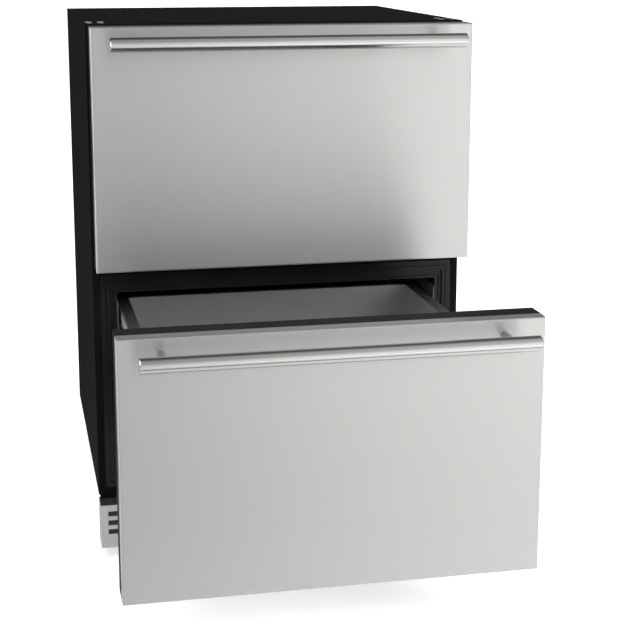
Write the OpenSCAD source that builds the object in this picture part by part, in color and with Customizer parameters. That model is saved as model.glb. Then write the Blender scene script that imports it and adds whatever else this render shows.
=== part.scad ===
// Undercounter drawer refrigerator with two stacked drawers.
// The cabinet stands on four screw-in legs behind a slotted kick plate. The upper drawer is shut
// and the lower one is pulled part of the way out. Front faces -Y, +Z is up, and the origin is on
// the floor at the centre of the whole footprint, open drawer and handle included.

/* [Cabinet] */
// Width of the cabinet body
case_w = 607; // [590:1:660]
// Depth of the cabinet body, without the drawer fronts
case_d = 561; // [556:1:620]
// Height of the cabinet body above its base
case_h = 767; // [750:1:840]
// Clear height under the cabinet body
floor_gap = 100; // [96:1:130]
// Thickness of the cabinet's sheet steel
sheet_t = 1; // [0.8:0.1:1.5]
// Width of the steel flange that is turned in round the front
flange_w = 11.5; // [10:0.5:13]
// Thickness of the insulated side, top and bottom walls
wall_t = 38; // [36:0.5:42]
// Thickness of the insulated back wall
back_wall_t = 46; // [40:1:50]
// Height of the insulated divider between the compartments
divider_h = 84; // [76:1:96]
// Thickness of the moulded liners
liner_t = 2; // [1.5:0.1:3]
// Depth of the moulded trim round each opening
trim_d = 14; // [12:1:18]

/* [Machine space] */
// Inside height of the machine space at the bottom rear
machine_h = 168; // [166:1:176]
// Inside depth of the machine space
machine_d = 225; // [215:1:235]
// Insulation between the machine space and the lower compartment
machine_wall_t = 31.5; // [28:0.5:36]

/* [Drawer fronts] */
// Step from the cabinet's side to the edge of a drawer front
front_inset = 3.2; // [2:0.1:6]
// Step from the cabinet's top to the upper drawer front
front_top_gap = 1.5; // [1:0.1:6]
// Gap between the two drawer fronts
front_gap = 10.5; // [6:0.5:14]
// How far the lower front reaches below the cabinet body
front_drop = 2; // [0:0.5:4]
// Depth of the stainless skin's folded sides
skin_d = 21; // [16:1:26]
// Thickness of the stainless skin
skin_t = 1; // [0.8:0.1:1.5]
// Radius of the skin's folded edges
skin_r = 2.5; // [2:0.1:4]
// Depth of the black inner pan behind the skin
pan_d = 34; // [28:1:40]
// Wall of the black inner pan
pan_t = 2.5; // [2:0.1:3.5]
// Space that the gasket fills between the inner pan and the cabinet
gasket_gap = 9.8; // [8:0.1:12]
// Width of the gasket
gasket_w = 16; // [12:1:20]
// Step from the edge of a front to its gasket
gasket_inset = 3; // [2:0.5:6]
// Clearance between the shut gasket and the cabinet
gasket_play = 0.3; // [0.2:0.1:0.5]

/* [Handles] */
// Diameter of the handle bar
bar_d = 22; // [18:1:26]
// Distance from the end of the bar to the edge of the front
bar_end_gap = 25.8; // [15:0.1:60]
// Distance from the front's face to the bar's axis
bar_standoff = 50; // [40:1:60]
// Distance from the top of the front to the bar's axis
bar_drop = 23.5; // [20:0.5:60]
// Diameter of a handle post
post_d = 12; // [10:0.5:15]
// Distance from the end of the bar to a post's axis
post_inset = 34.5; // [20:0.5:80]
// Depth of the post's seat in the bar
post_seat = 6; // [4:0.5:8]
// Thread diameter of the handle screws
handle_screw_d = 5; // [4:0.5:6]

/* [Drawer boxes] */
// Space behind a shut drawer box, for the evaporator and its fan
box_back_gap = 62.8; // [60:0.1:72]
// Thickness of the drawer box's sheet
box_t = 1.2; // [0.8:0.1:1.5]
// Width of the folded rim on top of a drawer side
rim_w = 20; // [18:0.1:21]
// Height of the folded rim
rim_h = 21; // [16:1:26]
// Outer radius of the folded rim
rim_r = 4; // [3:0.5:6]
// Clearance between the rim and the liner
rim_clear = 6.3; // [5:0.1:8]
// Distance from a compartment's ceiling to the drawer's rim
rim_drop = 31; // [30:1:44]
// Distance from a compartment's floor to the drawer's floor
box_floor_gap = 28; // [20:1:36]
// How far the lower drawer is pulled out
pull_out = 355.8; // [0:0.1:430]

/* [Slides] */
// How far a slide runs past the back of the drawer box
slide_overrun = 3.8; // [2:0.1:6]
// Height of a slide
slide_h = 42; // [38:1:46]
// Thickness of a slide across all three members
slide_t = 19; // [17:0.5:20]
// Thickness of a slide's steel
rail_t = 1.6; // [1.2:0.1:1.8]
// Running clearance between a slide's members
slide_play = 0.4; // [0.3:0.05:0.6]
// Clear height between the drawer's rim and the slide
slide_drop = 4; // [3:0.5:8]
// Thickness of the plate that holds a slide to the liner
plate_t = 2; // [1.5:0.1:3]
// How far the plate stands above the drawer's rim
plate_rise = 17; // [12:1:20]
// Distance from the cabinet's front to the slide plate
plate_y = 4; // [3:0.5:8]

/* [Kick plate] */
// Height of the kick plate's lower edge above the floor
kick_z = 20; // [12:1:26]
// Height of the kick plate
kick_h = 73.5; // [66:0.5:76]
// Distance from the cabinet's front to the kick plate's face
kick_reach = 33; // [26:1:40]
// How far the kick plate's flanges run back under the cabinet
kick_back = 7; // [6:0.5:8]
// Thickness of the kick plate
kick_t = 1.2; // [0.8:0.1:1.5]
// Thickness of the filter mat behind the air slots
filter_t = 6; // [4:0.5:12]
// Height of an air slot
slot_h = 8; // [6:0.5:10]
// Distance between the rows of air slots
slot_pitch = 15.4; // [13:0.1:17]
// Distance from the kick plate's top to its first row of slots
slot_drop = 11; // [6:0.1:13]
// Rows of air slots
slot_rows = 3; // [1:1:3]
// Columns of air slots
slot_columns = 4; // [2:1:6]
// Distance from the kick plate's end to its first slot
slot_margin = 12; // [10:1:30]
// Metal left between two columns of slots
slot_web = 14; // [10:1:30]

/* [Legs] */
// Distance from the cabinet's side to a leg's axis
leg_inset = 48.5; // [44:0.5:56]
// Distance from the cabinet's front to the front legs' axis
leg_front_y = 45; // [40:1:60]
// Distance from the cabinet's back to the rear legs' axis
leg_back_y = 45; // [38:1:56]
// Diameter of a leg's threaded rod
leg_rod_d = 10; // [8:1:12]
// Diameter of a leg's foot
leg_foot_d = 40; // [34:1:46]
// Height of a leg's foot
leg_foot_h = 12; // [10:1:16]
// How far a leg is screwed into its bush
leg_grip = 26; // [20:1:30]
// Running clearance round a turning shaft or rod
turn_play = 0.05; // [0.03:0.01:0.08]

/* [Small parts] */
// Distance between the top inserts along X
insert_pitch_x = 18.5; // [15:0.5:24]
// Distance between the top inserts along Y
insert_pitch_y = 25; // [20:1:30]
// Distance from the cabinet's side to the middle of the top inserts
insert_inset = 17.5; // [15:0.5:30]
// Distance from the cabinet's front to the middle of the top inserts
insert_y = 41; // [30:1:60]
// Bore of a top insert
insert_bore_d = 5; // [4:0.5:6]
// Diameter of the evaporator fan
evap_fan_d = 92; // [80:1:100]
// Diameter of the condenser fan
cond_fan_d = 130; // [110:1:132]
// Distance from the cabinet's right side to the compressor's axis
compressor_margin = 175.5; // [170:0.5:182]
// Diameter of the compressor's shell
compressor_d = 156; // [140:1:160]
// Height of the compressor's shell
compressor_h = 138; // [120:1:140]
// Outer diameter of the refrigerant lines
line_d = 6.4; // [5:0.1:8]
// Outer diameter of the condenser's and the evaporator's tubes
tube_d = 8; // [6:0.5:9.5]
// Diameter of the temperature knob
knob_d = 18; // [14:1:20]

/* [Hidden] */
$fn = 48;
// Overshoot of a cut past the face that it opens
cut = 1;
// Space left round a screw, insert, bush or line where it passes through the insulation or a sheet
hole_play = 0.2;
// Flat left at the end of a slot, so that its two round corners do not touch
slot_end_flat = 0.1;

// Colours
STEEL = [0.74, 0.74, 0.73];
BLACK = [0.12, 0.12, 0.12];
TRIM = [0.18, 0.18, 0.18];
GREY = [0.6, 0.6, 0.58];
ZINC = [0.7, 0.72, 0.74];
FOAM = [0.93, 0.86, 0.62];
COPPER = [0.72, 0.42, 0.26];

// Cabinet levels, with the cabinet's front plane at y = 0 and the floor at z = 0
half_w = case_w / 2;
base_z = floor_gap;
top_z = base_z + case_h;
in_half = half_w - wall_t;
cavity_d = case_d - back_wall_t;
front_h = (case_h + front_drop - front_top_gap - front_gap) / 2;
lower_front_z = base_z - front_drop;
upper_front_z = lower_front_z + front_h + front_gap;
divider_z = upper_front_z - front_gap / 2;
lower_floor_z = base_z + wall_t;
lower_top_z = divider_z - divider_h / 2;
upper_floor_z = divider_z + divider_h / 2;
upper_top_z = top_z - wall_t;
flange_half = half_w - flange_w;

// Machine space
machine_top_z = base_z + sheet_t + machine_h;
machine_y = case_d - sheet_t - machine_d;
step_z = machine_top_z + machine_wall_t + liner_t;
step_y = machine_y - machine_wall_t - liner_t;

// Drawer fronts
front_half = half_w - front_inset;
pan_y = -gasket_gap - pan_d;
face_y = pan_y - skin_d;
gasket_groove = pan_t / 2;
groove_margin = 2;
gasket_r = 4;
gasket_foot_t = 1.5;
gasket_face_t = 3.5;

// Handles
bar_half = front_half - bar_end_gap;
bar_y = face_y - bar_standoff;
bar_chamfer = 1;
post_x = bar_half - post_inset;
post_end_y = bar_y + bar_d / 2 - post_seat;
screw_head_d = 1.8 * handle_screw_d;
screw_head_h = 4;
screw_grip = 16;

// Drawer boxes
box_half = in_half - rim_clear - rim_w;
box_front_y = -gasket_gap;
box_back_y = cavity_d - box_back_gap;
lower_rim_z = lower_top_z - rim_drop;
upper_rim_z = upper_top_z - rim_drop;
lower_box_z = lower_floor_z + box_floor_gap;
upper_box_z = upper_floor_z + box_floor_gap;
box_step_gap = 13;
box_step_y = step_y - box_step_gap;
box_step_z = step_z + box_step_gap;
box_front_drop = 13;
box_bracket_w = 16;
box_hem = 8;
box_rim_step = 1;

// Slides
slide_x = in_half - plate_t - slide_t;
slide_y = plate_y + 2;
slide_len = box_back_y + slide_overrun - slide_y;
plate_len = slide_len + 4;
plate_corner_r = 7;
plate_slot_w = 5;
plate_slot_h = 8;
plate_slot_drop = 9.5;
plate_slot_first = 22;
plate_slot_pitch = 53;
spacer_d = 16;
spacer_places = [0.08, 0.5, 0.92];

// Kick plate
kick_top_z = kick_z + kick_h;
skirt_inset = 2;

// Legs
leg_x = half_w - leg_inset;
leg_rear_y = case_d - leg_back_y;
bush_wall = 6;
bush_d = leg_rod_d + 2 * bush_wall;
bush_h = leg_grip + 4;

// Fans
shaft_d = 5;
fan_tip_gap = 2;
fan_pitch = 28;
fan_chord = 0.38;
fan_blade_t = 1.8;
fan_play = 1;
fan_blades = 5;
fan_root_depth = 3;

// Machine parts, as places across the machine space
machine_floor_z = base_z + sheet_t;
machine_mid_y = machine_y + machine_d / 2;
condenser_gap = 12;
condenser_x = -leg_x + bush_d / 2 + condenser_gap;
condenser_t = 46;
condenser_front_gap = 14;
condenser_back_gap = 26;
condenser_top_gap = 6;
condenser_y0 = machine_y + condenser_front_gap;
condenser_y1 = case_d - sheet_t - condenser_back_gap;
condenser_z1 = machine_top_z - condenser_top_gap;
condenser_columns = [0.28 * condenser_t, 0.72 * condenser_t];
condenser_rows = 5;
tube_margin = 20;
tube_proud = 6;
fin_count = 14;
fin_t = 0.8;
fin_lift = 4;
end_plate_t = 2;
cond_frame_gap = 3;
cond_frame_t = 3;
cond_frame_rim = 9;
cond_frame_w = cond_fan_d + 2 * cond_frame_rim;
cond_frame_lift = 10;
cond_fan_x = condenser_x + condenser_t + cond_frame_gap;
cond_fan_z = machine_floor_z + cond_frame_w / 2 + cond_frame_lift;
cond_blade_depth = 22;
cond_motor_gap = 6;
cond_motor_x = cond_fan_x + cond_frame_t + cond_blade_depth + cond_motor_gap;
cond_motor_len = 32;
cond_motor_d = 46;
cond_hub_d = 34;
strap_w = 12;
strap_t = 3;
compressor_x = half_w - compressor_margin;
compressor_lift = 12;
compressor_foot_z = machine_floor_z + compressor_lift;
mount_span_x = 150;
mount_span_y = 130;
mount_bolt_d = 6;
mount_play = 2;
compressor_plate_t = 3;
plate_margin = 14;
plate_corner = 12;
plate_half = [mount_span_x / 2 + plate_margin, mount_span_y / 2 + plate_margin];
pan_left_gap = 10;
pan_back_gap = 24;
pan_tray_w = 88;
pan_tray_d = 142;
pan_tray_h = 26;
pan_tray_t = 1.6;

// Evaporator parts
evap_cover_gap = 10;
evap_cover_y = box_back_y + evap_cover_gap;
evap_cover_t = 2;
evap_cover_air = 6;
evap_y = evap_cover_y + evap_cover_t + evap_cover_air;
evap_d = 34;
evap_columns = [evap_y + 0.3 * evap_d, evap_y + 0.7 * evap_d];
evap_rows = 4;
evap_fins = 16;
evap_plate_t = 1.5;
evap_tube_margin = 15;
evap_side_gap = 95.5;
evap_half = in_half - evap_side_gap;
evap_lift = 36;
evap_z = upper_floor_z + evap_lift;
evap_frame_rim = 13;
evap_frame_w = evap_fan_d + 2 * evap_frame_rim;
evap_frame_t = 3;
evap_frame_gap = 11;
evap_fan_z = upper_top_z - evap_frame_gap - evap_frame_w / 2;
evap_air_gap = 20.25;
evap_h = evap_fan_z - evap_frame_w / 2 - evap_air_gap - evap_z;
evap_blade_depth = 14;
evap_hub_d = 26;
evap_motor_d = 36;
evap_motor_len = 14;
evap_motor_gap = 4;
evap_strap_past = 5;
evap_strap_w = 10;

// Half the front reach less half the back reach puts the origin under the middle of the footprint
screw_proud = 2;
front_reach = pull_out - bar_y + bar_d / 2;
back_reach = case_d + screw_proud;
centre_y = (front_reach - back_reach) / 2;

// ---- Shared shapes ----

// Moves a piece from the cabinet's own places to the origin
module placed() {
  translate([0, centre_y, 0]) children();
}

// Moves a piece of the lower drawer out to where the drawer stands
module pulled(share) {
  translate([0, centre_y - share * pull_out, 0]) children();
}

// A block given by its two corners
module block(low, high) {
  translate(low) cube(high - low);
}

// Extrudes an outline drawn in X and Z from y0 back to y1
module along_y(y0, y1) {
  translate([0, y1, 0]) rotate([90, 0, 0]) linear_extrude(y1 - y0) children();
}

// Extrudes an outline drawn in Y and Z from x0 to x1
module along_x(x0, x1) {
  translate([x0, 0, 0]) rotate([90, 0, 90]) linear_extrude(x1 - x0) children();
}

// A rectangle with four round corners
module rounded(low, high, r) {
  translate([low.x + r, low.y]) square([high.x - low.x - 2 * r, high.y - low.y]);
  translate([low.x, low.y + r]) square([high.x - low.x, high.y - low.y - 2 * r]);
  for (x = [low.x + r, high.x - r], y = [low.y + r, high.y - r]) translate([x, y]) circle(r);
}

// A rectangle with round corners on its low-Y side only
module round_nosed(low, high, r) {
  translate([low.x + r, low.y]) square([high.x - low.x - 2 * r, high.y - low.y]);
  translate([low.x, low.y + r]) square([high.x - low.x, high.y - low.y - r]);
  for (x = [low.x + r, high.x - r]) translate([x, low.y + r]) circle(r);
}

// The same rectangle turned so that its round corners are on the low-X side
module round_faced(low, high, r) {
  translate([low.x, low.y + r]) square([high.x - low.x, high.y - low.y - 2 * r]);
  translate([low.x + r, low.y]) square([high.x - low.x - r, high.y - low.y]);
  for (y = [low.y + r, high.y - r]) translate([low.x + r, y]) circle(r);
}

// A block whose front edges are rounded like folded sheet
module folded_block(half, z0, z1, y0, y1, r) {
  intersection() {
    translate([0, 0, z0]) linear_extrude(z1 - z0) round_nosed([-half, y0], [half, y1], r);
    along_x(-half, half) round_faced([y0, z0], [y1, z1], r);
  }
}

// A picture frame in the X-Z plane, outer and inner outlines given as half width and heights
module ring(outer, inner, y0, y1, r_out, r_in) {
  along_y(y0, y1) difference() {
    rounded([-outer[0], outer[1]], [outer[0], outer[2]], r_out);
    rounded([-inner[0], inner[1]], [inner[0], inner[2]], r_in);
  }
}

// A straight rod from one point to another
module rod(from, to, d) {
  way = to - from;
  reach = norm(way);
  translate(from) rotate([0, acos(way.z / reach), atan2(way.y, way.x)]) cylinder(h = reach, d = d);
}

// A pipe through a list of points, with a ball at each bend
module pipe(points, d) {
  for (i = [0 : len(points) - 2]) rod(points[i], points[i + 1], d);
  for (i = [1 : len(points) - 2]) translate(points[i]) sphere(d = d);
}

// A drum with rounded rims, standing on z = 0
module drum(d, h, r) {
  rotate_extrude() {
    square([d / 2 - r, h]);
    translate([0, r]) square([d / 2, h - 2 * r]);
    for (z = [r, h - r]) translate([d / 2 - r, z]) circle(r);
  }
}

// A pan-head screw pointing along +Z, its head below z = 0
module screw(d, length, head_d, head_h) {
  translate([0, 0, -head_h]) cylinder(h = head_h, d = head_d);
  cylinder(h = length, d = d);
}

// ---- Cabinet ----

insert_x = half_w - insert_inset;
insert_flange_d = insert_bore_d + 5;
insert_flange_h = 0.8;
insert_body_d = insert_bore_d + 2;
insert_depth = 13;

// Places its children at the eight top inserts
module at_inserts() {
  for (side = [-1, 1], i = [-0.5, 0.5], j = [-0.5, 0.5])
    translate([side * insert_x + i * insert_pitch_x, insert_y + j * insert_pitch_y, top_z]) children();
}

module outer_wrapper() {
  color(BLACK) difference() {
    union() {
      for (side = [-1, 1]) {
        block([side < 0 ? -half_w : half_w - sheet_t, 0, base_z],
              [side < 0 ? sheet_t - half_w : half_w, case_d, top_z]);
        block([side < 0 ? -half_w : flange_half, 0, base_z],
              [side < 0 ? -flange_half : half_w, sheet_t, top_z]);
      }
      block([-half_w, 0, top_z - sheet_t], [half_w, case_d, top_z]);
      block([-half_w, 0, top_z - flange_w], [half_w, sheet_t, top_z]);
    }
    at_inserts() translate([0, 0, -insert_depth]) cylinder(h = insert_depth + cut, d = insert_body_d);
  }
}

// Threaded inserts in the top, for a bracket to the counter above
module top_inserts() {
  color(ZINC) at_inserts() difference() {
    union() {
      cylinder(h = insert_flange_h, d = insert_flange_d);
      translate([0, 0, -insert_depth]) cylinder(h = insert_depth, d = insert_body_d);
    }
    translate([0, 0, -insert_depth - cut])
      cylinder(h = insert_depth + 2 * cut + insert_flange_h, d = insert_bore_d);
  }
}

// Places its children at the screws that hold the rear panel and the machine cover
rear_screw_d = 4;
rear_screw_head_d = 8;
rear_screw_inset = 12;
rear_screw_length = 8;
rear_screw_margin = 22;
rear_screw_drop = 14;
rear_screw_rows = [
  base_z + rear_screw_margin, machine_top_z - rear_screw_drop, machine_top_z + rear_screw_margin,
  divider_z, top_z - rear_screw_margin
];
module at_rear_screws() {
  for (side = [-1, 1], z = rear_screw_rows)
    translate([side * (half_w - sheet_t - rear_screw_inset), case_d, z]) rotate([90, 0, 0]) children();
}

module rear_screw_holes(d) {
  at_rear_screws() translate([0, 0, -cut]) cylinder(h = rear_screw_length + 2 * cut, d = d);
}

rear_gap = 0.5;
module rear_panel() {
  color(ZINC) difference() {
    block([sheet_t - half_w, case_d - sheet_t, machine_top_z + rear_gap],
          [half_w - sheet_t, case_d, top_z - sheet_t]);
    rear_screw_holes(rear_screw_d);
  }
}

louvre_count = 7;
louvre_h = 6;
louvre_pitch = 16;
louvre_half = 75;
louvre_lift = 34;
inlet_inset = 153.5;
inlet_lift = 60;
inlet_x = inlet_inset - half_w;
inlet_z = base_z + inlet_lift;
inlet_w = 48;
inlet_h = 28;
module machine_cover() {
  color(ZINC) difference() {
    block([sheet_t - half_w, case_d - sheet_t, base_z + sheet_t], [half_w - sheet_t, case_d, machine_top_z]);
    rear_screw_holes(rear_screw_d);
    for (i = [0 : louvre_count - 1]) {
      z = base_z + louvre_lift + i * louvre_pitch;
      along_y(case_d - sheet_t - cut, case_d + cut)
        rounded([compressor_x - louvre_half, z], [compressor_x + louvre_half, z + louvre_h],
                louvre_h / 2 - slot_end_flat);
    }
    block([inlet_x - inlet_w / 2, case_d - sheet_t - cut, inlet_z - inlet_h / 2],
          [inlet_x + inlet_w / 2, case_d + cut, inlet_z + inlet_h / 2]);
  }
}

module cover_screws() {
  color(ZINC) at_rear_screws() screw(rear_screw_d, rear_screw_length, rear_screw_head_d, screw_proud);
}

// Appliance inlet in the machine cover, where the supply cord would plug in
inlet_depth = 24;
inlet_wall = 3;
blade_pitch = 10;
blade_w = 2;
blade_h = 6;
blade_back = 5;
module power_inlet() {
  mouth_x = inlet_w / 2 - inlet_wall;
  mouth_z = inlet_h / 2 - inlet_wall;
  color(BLACK) {
    difference() {
      block([inlet_x - inlet_w / 2, case_d - inlet_depth, inlet_z - inlet_h / 2],
            [inlet_x + inlet_w / 2, case_d + screw_proud, inlet_z + inlet_h / 2]);
      block([inlet_x - mouth_x, case_d - inlet_depth + inlet_wall, inlet_z - mouth_z],
            [inlet_x + mouth_x, case_d + screw_proud + cut, inlet_z + mouth_z]);
    }
    // Three contact blades, the middle one higher
    for (i = [-1, 0, 1]) {
      x = inlet_x + blade_pitch * i;
      z = inlet_z + blade_h / 2 * (1 - abs(i));
      block([x - blade_w / 2, case_d - inlet_depth + inlet_wall - cut, z - blade_h / 2],
            [x + blade_w / 2, case_d - blade_back, z + blade_h / 2]);
    }
  }
}

base_slot_count = 9;
base_slot_w = 4;
base_slot_len = 34;
base_slot_gap = 8;
base_slot_margin = 267.5;
module base_pan() {
  color(BLACK) difference() {
    union() {
      block([sheet_t - half_w, sheet_t, base_z], [half_w - sheet_t, case_d - sheet_t, base_z + sheet_t]);
      block([-flange_half, 0, base_z], [flange_half, sheet_t, base_z + flange_w]);
      block([-flange_half, 0, base_z], [flange_half, 2 * sheet_t, base_z + sheet_t]);
      // Folded skirt that the kick plate hangs from
      block([skirt_inset - half_w, 0, kick_top_z], [half_w - skirt_inset, 2 * sheet_t, base_z]);
      block([skirt_inset - half_w, 0, kick_top_z], [half_w - skirt_inset, kick_back, kick_top_z + sheet_t]);
      // Welded bushes for the legs
      at_legs() translate([0, 0, base_z]) cylinder(h = bush_h, d = bush_d);
    }
    at_legs() translate([0, 0, base_z - cut]) cylinder(h = bush_h + 2 * cut, d = leg_rod_d + 2 * turn_play);
    // Air slots under the machine space
    for (i = [0 : base_slot_count - 1]) {
      x = base_slot_margin - half_w + 2 * base_slot_w * i;
      y = machine_y + base_slot_gap;
      block([x, y, base_z - cut], [x + base_slot_w, y + base_slot_len, base_z + sheet_t + cut]);
    }
    at_compressor_mounts() translate([0, 0, base_z - cut])
      cylinder(h = 2 * sheet_t + 2 * cut, d = mount_bolt_d);
  }
}

// Insulation foamed between the wrapper, the rear panel and the liners
pipe_bore = line_d + 1;
module wall_insulation() {
  color(FOAM) difference() {
    block([sheet_t - half_w, sheet_t, base_z + sheet_t],
          [half_w - sheet_t, case_d - sheet_t, top_z - sheet_t]);
    // The two liners
    block([-in_half - liner_t, 0, upper_floor_z - liner_t],
          [in_half + liner_t, cavity_d + liner_t, upper_top_z + liner_t]);
    along_x(-in_half - liner_t, in_half + liner_t) lower_outline(liner_t, 0);
    // The two trim frames
    for (span = [[base_z, divider_z], [divider_z, top_z]])
      block([-flange_half, 0, span[0] + flange_w], [flange_half, trim_d, span[1] - flange_w]);
    // The base's front flange and the divider's bar
    block([-flange_half, 0, base_z], [flange_half, 2 * sheet_t, base_z + 2 * sheet_t]);
    // The machine space
    block([-half_w, machine_y, base_z], [half_w, case_d, machine_top_z]);
    at_legs() translate([0, 0, base_z]) cylinder(h = bush_h + hole_play, d = bush_d + 2 * hole_play);
    at_inserts() translate([0, 0, -insert_depth - hole_play])
      cylinder(h = insert_depth + hole_play, d = insert_body_d + 2 * hole_play);
    for (route = line_routes) pipe(route, pipe_bore);
    rear_screw_holes(rear_screw_d + 2 * hole_play);
  }
}

// Outline of the lower compartment in Y and Z, grown by the liner's wall
module lower_outline(grow, front_y) {
  polygon([
    [front_y, lower_floor_z - grow], [step_y + grow, lower_floor_z - grow],
    [step_y + grow, step_z - grow], [cavity_d + grow, step_z - grow],
    [cavity_d + grow, lower_top_z + grow], [front_y, lower_top_z + grow]
  ]);
}

module upper_liner() {
  color(TRIM) difference() {
    block([-in_half - liner_t, trim_d, upper_floor_z - liner_t],
          [in_half + liner_t, cavity_d + liner_t, upper_top_z + liner_t]);
    block([-in_half, trim_d - cut, upper_floor_z], [in_half, cavity_d, upper_top_z]);
    for (route = line_routes) pipe(route, pipe_bore);
  }
}

module lower_liner() {
  color(TRIM) difference() {
    along_x(-in_half - liner_t, in_half + liner_t) lower_outline(liner_t, trim_d);
    along_x(-in_half, in_half) lower_outline(0, trim_d - cut);
  }
}

module mullion_bar() {
  color(BLACK) block([-flange_half, 0, divider_z - flange_w], [flange_half, sheet_t, divider_z + flange_w]);
}

// Moulded trim round an opening: two beads, a slope in two steps and a lip run round all four sides
bead_1 = [0.5, 8.5];
bead_2 = [9.8, 14.5];
groove_y = 2.5;
slope_y = 4.5;
slope_w = 7.5;
valley_y = 7;
lip_y = 3.5;
lip_w = 3.5;
bead_r = 6;
trim_corner_r = 0.5;
open_corner_r = 3;
module trim_frame(z0, z1, open_z0, open_z1) {
  // Outlines a distance in from the frame's outer edge, and out from its opening
  function inwards(d) = [flange_half - d, z0 + d, z1 - d];
  function outwards(d) = [in_half + d, open_z0 - d, open_z1 + d];
  color(TRIM) {
    ring(inwards(0), outwards(0), valley_y, trim_d, trim_corner_r, open_corner_r);
    ring(inwards(0), outwards(slope_w), slope_y, trim_d, trim_corner_r, bead_r);
    ring(inwards(0), inwards(bead_2[1]), groove_y, trim_d, trim_corner_r, bead_r);
    for (bead = [bead_1, bead_2]) ring(inwards(bead[0]), inwards(bead[1]), 0, trim_d, bead_r, bead_r);
    ring(outwards(lip_w), outwards(0), lip_y, trim_d, bead_r, open_corner_r);
  }
}

module upper_trim_frame() {
  trim_frame(divider_z + flange_w, top_z - flange_w, upper_floor_z, upper_top_z);
}

module lower_trim_frame() {
  trim_frame(base_z + flange_w, divider_z - flange_w, lower_floor_z, lower_top_z);
}

module kick_plate() {
  slot_w = (case_w - 2 * slot_margin - (slot_columns - 1) * slot_web) / slot_columns;
  color(STEEL) difference() {
    union() {
      block([-half_w, -kick_reach, kick_z], [half_w, kick_t - kick_reach, kick_top_z]);
      block([-half_w, -kick_reach, kick_top_z - kick_t], [half_w, kick_back, kick_top_z]);
      for (side = [-1, 1])
        block([side < 0 ? -half_w : half_w - kick_t, -kick_reach, kick_z],
              [side < 0 ? kick_t - half_w : half_w, kick_back, kick_top_z]);
    }
    for (row = [0 : slot_rows - 1], column = [0 : slot_columns - 1]) {
      z = kick_top_z - slot_drop - row * slot_pitch;
      x = -half_w + slot_margin + column * (slot_w + slot_web);
      block([x, -kick_reach - cut, z - slot_h], [x + slot_w, kick_t - kick_reach + cut, z]);
    }
  }
}

// Open-cell mat that keeps dust out of the air slots, tucked between the kick plate's flanges
module filter_mat() {
  back_y = kick_t - kick_reach;
  color(TRIM)
    block([kick_t - half_w, back_y, kick_z], [half_w - kick_t, back_y + filter_t, kick_top_z - kick_t]);
}

// ---- Legs ----

module at_legs() {
  for (side = [-1, 1], y = [leg_front_y, leg_rear_y]) translate([side * leg_x, y, 0]) children();
}

foot_bevel = 3;
nut_h = 8;
module leg(side, y) {
  color(BLACK) translate([side * leg_x, y, 0]) {
    cylinder(h = leg_foot_h - foot_bevel, d = leg_foot_d);
    translate([0, 0, leg_foot_h - foot_bevel])
      cylinder(h = foot_bevel, d1 = leg_foot_d, d2 = leg_foot_d - 2 * foot_bevel);
    cylinder(h = base_z + leg_grip, d = leg_rod_d);
    translate([0, 0, leg_foot_h - cut]) cylinder(h = nut_h + cut, d = bush_d, $fn = 6);
  }
}

module leg_front_left() { leg(-1, leg_front_y); }
module leg_front_right() { leg(1, leg_front_y); }
module leg_rear_left() { leg(-1, leg_rear_y); }
module leg_rear_right() { leg(1, leg_rear_y); }

// ---- Cooling machinery ----

module at_compressor_mounts() {
  for (i = [-0.5, 0.5], j = [-0.5, 0.5])
    translate([compressor_x + i * mount_span_x, machine_mid_y + j * mount_span_y, 0]) children();
}

grommet_d = 20;
shell_r = 34;
mount_head_h = 3;
mount_bolt_past = 5;
mount_washer_d = mount_bolt_d + 8;
mount_washer_h = 4;
seam_h = 4;
seam_w = 2;
terminal_half = 24;
terminal_z = [30, 84];
terminal_reach = 28;
shell_z = compressor_foot_z + compressor_plate_t;
stub_d = 9;
stub_len = 10;
stub_rise = 20;
stub_z = shell_z + compressor_h / 2 + stub_rise;
suction_end = [compressor_x + compressor_d / 2 + stub_len, machine_mid_y, stub_z];
discharge_end = [compressor_x - compressor_d / 2 - stub_len, machine_mid_y + stub_rise, stub_z];

module compressor() {
  color(BLACK) {
    difference() {
      translate([compressor_x, machine_mid_y, compressor_foot_z]) linear_extrude(compressor_plate_t)
        rounded([-plate_half.x, -plate_half.y], plate_half, plate_corner);
      at_compressor_mounts() translate([0, 0, compressor_foot_z - cut])
        cylinder(h = compressor_plate_t + 2 * cut, d = mount_bolt_d + 2 * mount_play);
    }
    translate([compressor_x, machine_mid_y, shell_z - cut]) drum(compressor_d, compressor_h + cut, shell_r);
    // Welded seam round the shell
    translate([compressor_x, machine_mid_y, shell_z + (compressor_h - seam_h) / 2])
      cylinder(h = seam_h, d = compressor_d + 2 * seam_w);
    // Terminal cover on the front of the shell
    translate([compressor_x, machine_mid_y - compressor_d / 2, shell_z])
      block([-terminal_half, -terminal_reach, terminal_z[0]], [terminal_half, terminal_reach, terminal_z[1]]);
    rod([compressor_x, suction_end.y, stub_z], suction_end, stub_d);
    rod([compressor_x, discharge_end.y, stub_z], discharge_end, stub_d);
  }
}

// Rubber grommets with their bolts, between the base and the compressor's plate
module compressor_mounts() {
  color(TRIM) at_compressor_mounts() {
    translate([0, 0, machine_floor_z]) cylinder(h = compressor_lift, d = grommet_d);
    translate([0, 0, base_z - mount_head_h]) cylinder(h = mount_head_h, d = 2 * mount_bolt_d, $fn = 6);
    translate([0, 0, base_z - cut])
      cylinder(h = shell_z - base_z + cut + mount_bolt_past, d = mount_bolt_d);
    translate([0, 0, shell_z]) cylinder(h = mount_washer_h, d = mount_washer_d);
  }
}

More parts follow.
